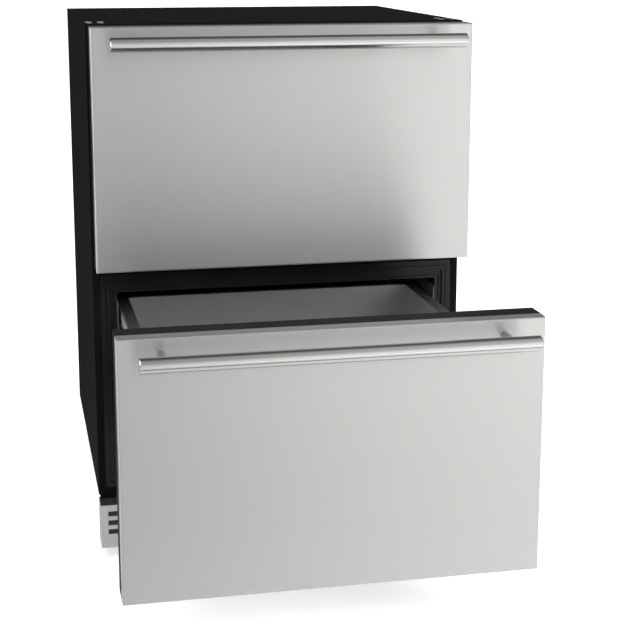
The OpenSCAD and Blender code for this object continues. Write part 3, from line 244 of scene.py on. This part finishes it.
def foam_with_painted_shade():
    """The same foam with painted shade on its front edge: black, standing in for the shade in the gap in
    front of it.
    """
    finish = Finish("foam_with_painted_shade", FOAM, roughness=0.85, specular=0.1)
    split = finish.add("ShaderNodeSeparateXYZ")
    finish.link(finish.place(), split.inputs["Vector"])
    shade_black = (0.006, 0.006, 0.006)
    bare = (0.76, 0.64, 0.38)
    # Painted shade: the foam's front edge is black because the gap in front of it lies in shade
    finish.vary_colour(split.outputs["Y"], shade_black, bare, SHADE_BAND_END, SHADE_BAND_END + MM)
    cells = finish.noise(scale=420.0, detail=4.0, roughness=0.7)
    finish.bump(cells, height=0.3 * MM, strength=0.6)
    return finish.material


def copper():
    """Copper tube, tarnished in patches."""
    finish = Finish("copper", (0.78, 0.36, 0.20), roughness=0.28, metallic=1.0)
    tarnish = finish.noise(scale=45.0, detail=5.0)
    finish.vary_colour(tarnish, (0.52, 0.21, 0.11), (0.83, 0.42, 0.25))
    finish.vary_roughness(tarnish, 0.22, 0.42)
    return finish.material


def coil_metal(name, colour, roughness):
    """Fin and tube metal with the streaks of the mill."""
    finish = Finish(name, colour, roughness, metallic=1.0)
    streak = finish.noise(scale=300.0, stretch=(1.0, 1.0, 0.05))
    finish.vary_colour(streak, shade(colour, 0.85), shade(colour, 1.08))
    finish.vary_roughness(streak, roughness - 0.05, roughness + 0.1)
    return finish.material


def compressor_paint():
    """Gloss black enamel of the compressor's shell, with slight sags."""
    finish = Finish("compressor_paint", (0.014, 0.014, 0.015), roughness=0.2)
    sag = finish.noise(scale=40.0)
    finish.vary_colour(sag, (0.011, 0.011, 0.012), (0.02, 0.02, 0.021))
    finish.vary_roughness(sag, 0.14, 0.3)
    finish.bump(sag, height=0.12 * MM, strength=0.5)
    return finish.material


def light_lens():
    """Frosted cover of the interior lights, with its prism ribs."""
    finish = Finish("light_lens", (0.86, 0.87, 0.86), roughness=0.4)
    wave = finish.add("ShaderNodeTexWave", Scale=60.0, wave_type="BANDS", bands_direction="X")
    finish.link(finish.place(), wave.inputs["Vector"])
    ribs = wave.outputs["Fac"]
    finish.vary_colour(ribs, (0.78, 0.79, 0.78), (0.9, 0.91, 0.9))
    finish.bump(ribs, height=0.2 * MM, strength=0.6)
    return finish.material


FINISHES = {
    "case_paint": case_paint(),
    "zinc_sheet": galvanised("zinc_sheet", (0.40, 0.41, 0.42), roughness=0.42, spangles=150.0),
    "leg_steel": galvanised("leg_steel", (0.42, 0.43, 0.44), roughness=0.42, spangles=300.0),
    "stainless": brushed_sheet("stainless", STEEL, roughness=0.40, brushing=0.9),
    # Painted light: the kick plate's steel is the fronts' steel made 1.25 times lighter, to make up for
    # the shade it sits in
    "lightened_kick_steel": brushed_sheet("lightened_kick_steel", shade(STEEL, 1.25), roughness=0.36, brushing=0.6),
    "drawer_steel": brushed_sheet("drawer_steel", shade(STEEL, 1.1), roughness=0.38, brushing=0.5),
    "handle_steel": handle_steel(),
    "bright_zinc": bright_zinc(),
    "rail_zinc": rail_zinc(),
    "insert_zinc": insert_zinc(),
    "black_liner": moulded("black_liner", (0.010, 0.010, 0.011),
                           roughness=0.5, specular=0.12, grain=0.01),
    "black_trim": moulded("black_trim", (0.0105, 0.0105, 0.0108),
                          roughness=0.24, specular=0.17, grain=0.005),
    "black_plastic": moulded("black_plastic", (0.009, 0.009, 0.0094),
                             roughness=0.5, specular=0.04, grain=0.02),
    "filter_foam": moulded("filter_foam", (0.04, 0.04, 0.041),
                           roughness=0.9, specular=0.1, grain=1.0),
    "grey_plastic": moulded("grey_plastic", (0.36, 0.37, 0.37),
                            roughness=0.45, specular=0.4, grain=0.03),
    "rubber": rubber(),
    "foam": insulation(),
    "foam_with_painted_shade": foam_with_painted_shade(),
    "copper": copper(),
    "coil_steel": coil_metal("coil_steel", (0.46, 0.46, 0.46), roughness=0.35),
    "coil_aluminium": coil_metal("coil_aluminium", (0.72, 0.73, 0.74), roughness=0.3),
    "compressor_paint": compressor_paint(),
    "light_lens": light_lens(),
}

# Nodes whose finish is their own and not that of their material slot
SPECIAL_FINISHES = {
    "upper_slide_rails": "rail_zinc",
    "lower_slide_rails": "rail_zinc",
    "top_inserts": "insert_zinc",
    "wall_insulation": "foam_with_painted_shade",
    # The kick plate gets the lighter copy of the stainless, painted light against its shade
    "kick_plate": "lightened_kick_steel",
}


def dress(name, node):
    """Gives a CAD node its own finish, or else that of its material slot."""
    for holder in node.material_slots:
        slot = holder.material.name.split(".")[0]
        holder.material = FINISHES[SPECIAL_FINISHES.get(name, slot)]


# ---- Soft edges on the CAD nodes ----

# Points closer than this become one before the edges are rounded
WELD_REACH = 0.01 * MM
# Edges that turn by more than this, in degrees, are rounded
ROUNDED_ANGLE = 40
# Edges that still turn by more than this, in degrees, are shaded as sharp
SHARP_ANGLE = 35
# Width in millimetres of the soft edge on each node that gets one
EDGE_WIDTHS = {
    "outer_wrapper": 0.4,
    "mullion_bar": 0.4,
    "kick_plate": 0.5,
    "base_pan": 0.4,
    "rear_panel": 0.3,
    "machine_cover": 0.3,
    "evaporator_cover": 0.5,
    "thermostat_housing": 1.2,
    "temperature_knob": 0.4,
    "interior_lights": 1.0,
    "power_inlet": 0.6,
    "condensate_pan": 0.6,
}
for level in ("upper", "lower"):
    EDGE_WIDTHS.update({
        f"{level}_liner": 1.0,
        f"{level}_trim_frame": 1.0,
        f"{level}_front_pan": 0.6,
        f"{level}_gasket": 0.8,
        f"{level}_drawer_left_side": 0.35,
        f"{level}_drawer_right_side": 0.35,
        f"{level}_drawer_tray": 0.4,
        f"{level}_slide_rails": 0.4,
        f"{level}_slide_middles": 0.4,
        f"{level}_slide_runners": 0.4,
    })


def smoothing_group(limit):
    """Geometry nodes that smooth the faces, except across edges sharper than limit."""
    group = bpy.data.node_groups.new("smooth_faces", "GeometryNodeTree")
    for way in ("INPUT", "OUTPUT"):
        group.interface.new_socket("Geometry", in_out=way, socket_type="NodeSocketGeometry")
    start = add_node(group, "NodeGroupInput")
    end = add_node(group, "NodeGroupOutput")
    angle = add_node(group, "GeometryNodeInputMeshEdgeAngle")
    sharp = add_node(group, "FunctionNodeCompare", operation="GREATER_THAN", B=limit)
    normals = add_node(group, "GeometryNodeSetMeshNormal", mode="SHARPNESS", Remove_Custom=True)
    group.links.new(angle.outputs["Unsigned Angle"], sharp.inputs["A"])
    group.links.new(start.outputs["Geometry"], normals.inputs["Mesh"])
    group.links.new(sharp.outputs["Result"], normals.inputs["Edge Sharpness"])
    group.links.new(normals.outputs["Mesh"], end.inputs["Geometry"])
    return group


def soften(node, width, smoothing):
    """Rounds a CAD node's sharp edges by width with modifiers alone."""
    weld = node.modifiers.new("weld", "WELD")
    weld.merge_threshold = WELD_REACH
    bevel = node.modifiers.new("soft_edges", "BEVEL")
    bevel.width = width
    bevel.segments = 2
    bevel.limit_method = "ANGLE"
    bevel.angle_limit = math.radians(ROUNDED_ANGLE)
    bevel.use_clamp_overlap = True
    smooth = node.modifiers.new("smooth_faces", "NODES")
    smooth.node_group = smoothing
    even = node.modifiers.new("even_normals", "WEIGHTED_NORMAL")
    even.keep_sharp = True


# ---- Stage: floor, studio and camera ----

FLOOR_SIZE = 60.0
FLOOR_TONE = (0.88, 0.88, 0.88)
# Light that the floor adds for the camera alone, so that the shadows on it stay faint
FLOOR_GLOW = 0.52
# Painted shade that reflections and bounced light alone see: the floor dimmed, darker to the left. Share
# of its tone on the left and on the right, and the places along X between which that changes
FLOOR_LEFT = 0.60
FLOOR_RIGHT = 1.0
FLOOR_X = (-0.5, 1.0)
# Painted shade in the rear left corner for reflections and bounced light: the share left there, and the
# places along X and Y between which it fades
CORNER_SHARE = 0.5
CORNER_X = (-0.5, 0.1)
CORNER_Y = (0.1, 1.2)
# A painted dark strip across the floor in front, seen only in reflections and bounced light: the share
# left on it, its middle, and the distances from it where it fades
STRIP_SHARE = 0.5
STRIP_Y = -1.0
STRIP_FADE = (0.096, 0.224)
# Brightness of the studio round the object, as (direction, brightness) stops with directions from -1 to 1
STUDIO = {
    "X": [(-1.0, 0.8), (-0.05, 0.65), (0.4, 1.55), (0.8, 0.75), (1.0, 0.7)],
    "Y": [(-0.3, 1.0), (0.2, 0.2)],
    "Z": [(0.0, 0.85), (0.12, 1.05), (0.25, 1.05), (0.45, 0.65), (0.72, 0.5), (1.0, 0.5)],
}
# The photograph's camera. It looks down and to the right by these angles in degrees.
CAMERA_PLACE = (-0.438, -2.3487, 0.991)
CAMERA_DOWN = 11.76
CAMERA_RIGHT = 11.84
# Focal length and frame width in millimetres, and shift in widths of the frame. A larger shift down
# would cut the object's top off in the views from above.
CAMERA_LENS = 85.4
CAMERA_SENSOR = 36.0
CAMERA_SHIFT = (0.005, -0.10)


def make_floor():
    """A pale floor, evenly white to the camera, with painted shade that only reflections and bounced
    light see: darker to the left, in the rear left corner and on a strip in front.
    """
    bpy.ops.mesh.primitive_plane_add(size=FLOOR_SIZE, location=(0, 0, 0))
    floor = bpy.context.object
    floor.name = "studio_floor"
    finish = Finish("studio_floor", FLOOR_TONE, roughness=0.8, specular=0.0)
    split = finish.add("ShaderNodeSeparateXYZ")
    finish.link(finish.place(), split.inputs["Vector"])
    x = split.outputs["X"]
    y = split.outputs["Y"]
    across = finish.remap(x, FLOOR_LEFT, FLOOR_RIGHT, *FLOOR_X)
    off_strip = finish.math("ABSOLUTE", finish.math("SUBTRACT", y, STRIP_Y))
    strip = finish.remap(off_strip, STRIP_SHARE, 1.0, *STRIP_FADE)
    behind = finish.remap(y, 1.0, CORNER_SHARE, *CORNER_Y)
    beside = finish.remap(x, CORNER_SHARE, 1.0, *CORNER_X)
    corner = finish.math("MAXIMUM", behind, beside)
    reflected = finish.math("MULTIPLY", finish.math("MULTIPLY", across, strip), corner)
    seen = finish.add("ShaderNodeLightPath").outputs["Is Camera Ray"]
    share = finish.math("MAXIMUM", reflected, seen)
    finish.vary_colour(share, (0.0, 0.0, 0.0), FLOOR_TONE, 0.0, 1.0)
    finish.set("Emission Color", WHITE)
    finish.link(finish.math("MULTIPLY", seen, FLOOR_GLOW), finish.shader.inputs["Emission Strength"])
    floor.data.materials.append(finish.material)


def graded(tree, direction, stops):
    """The brightness at a direction, between (direction, brightness) stops."""
    peak = max(brightness for _, brightness in stops)
    ramp = add_node(tree, "ShaderNodeValToRGB")
    marks = ramp.color_ramp.elements
    places = [(place + 1) / 2 for place, _ in stops]
    for place in places[1:-1]:
        marks.new(place)
    for mark, place, (_, brightness) in zip(marks, places, stops):
        grey = brightness / peak
        mark.position = place
        mark.color = (grey, grey, grey, 1.0)
    tree.links.new(math_node(tree, "MULTIPLY_ADD", direction, 0.5, 0.5), ramp.inputs["Fac"])
    return math_node(tree, "MULTIPLY", ramp.outputs["Color"], peak)


def make_world():
    """White to the camera. Light and reflections come from a softly graded studio."""
    world = bpy.data.worlds.new("studio")
    bpy.context.scene.world = world
    world.use_nodes = True
    tree = world.node_tree
    tree.nodes.clear()
    where = add_node(tree, "ShaderNodeTexCoord")
    split = add_node(tree, "ShaderNodeSeparateXYZ")
    tree.links.new(where.outputs["Generated"], split.inputs["Vector"])
    across, along, upward = (graded(tree, split.outputs[axis], STUDIO[axis]) for axis in "XYZ")
    brightness = math_node(tree, "MULTIPLY", math_node(tree, "MULTIPLY", across, along), upward)
    studio = add_node(tree, "ShaderNodeBackground", Color=WHITE)
    tree.links.new(brightness, studio.inputs["Strength"])
    backdrop = add_node(tree, "ShaderNodeBackground", Color=WHITE)
    path = add_node(tree, "ShaderNodeLightPath")
    mix = add_node(tree, "ShaderNodeMixShader")
    tree.links.new(path.outputs["Is Camera Ray"], mix.inputs["Fac"])
    tree.links.new(studio.outputs["Background"], mix.inputs[1])
    tree.links.new(backdrop.outputs["Background"], mix.inputs[2])
    output = add_node(tree, "ShaderNodeOutputWorld")
    tree.links.new(mix.outputs["Shader"], output.inputs["Surface"])


def add_object(name, data):
    thing = bpy.data.objects.new(name, data)
    bpy.context.scene.collection.objects.link(thing)
    return thing


def facing(way):
    """The turn that makes a light shine along way."""
    return Vector(way).to_track_quat("-Z", "Y").to_euler()


def add_softbox(name, place, aim, size, watts, mirrored=True):
    """A square light at place that faces aim. Reflections show it only if it is mirrored."""
    data = bpy.data.lights.new(name, "AREA")
    data.size = size
    data.energy = watts
    light = add_object(name, data)
    light.location = place
    light.rotation_euler = facing(Vector(aim) - Vector(place))
    light.visible_glossy = mirrored
    light.visible_camera = False


def add_sun(name, way, spread, strength):
    """A sun of that spread in degrees, which shines along way and shows in no reflection."""
    data = bpy.data.lights.new(name, "SUN")
    data.angle = math.radians(spread)
    data.energy = strength
    light = add_object(name, data)
    light.rotation_euler = facing(way)
    light.visible_glossy = False


def make_camera():
    """The photograph's view, slightly from the left and above, with upright lines nearly parallel."""
    data = bpy.data.cameras.new("camera")
    data.sensor_width = CAMERA_SENSOR
    data.lens = CAMERA_LENS
    data.shift_x, data.shift_y = CAMERA_SHIFT
    camera = add_object("camera", data)
    camera.location = CAMERA_PLACE
    camera.rotation_euler = (math.radians(90 - CAMERA_DOWN), 0, math.radians(-CAMERA_RIGHT))
    bpy.context.scene.camera = camera


# ---- The scene ----

smoothing = smoothing_group(math.radians(SHARP_ANGLE))
for name, node in nodes.items():
    dress(name, node)
    if name in EDGE_WIDTHS:
        soften(node, EDGE_WIDTHS[name] * MM, smoothing)

make_floor()
make_world()
add_sun("skylight", way=(0.05, 0.65, -1), spread=75, strength=3.2)
add_softbox("right_box", place=(2.3, -2.6, 1.5), aim=(0.9, -2.2, 0), size=1.6, watts=70, mirrored=False)
add_softbox("left_box", place=(-2.4, 0.1, 1.1), aim=(0, -0.2, 0.6), size=1.4, watts=20)
make_camera()
bpy.context.scene.view_settings.view_transform = "Standard"
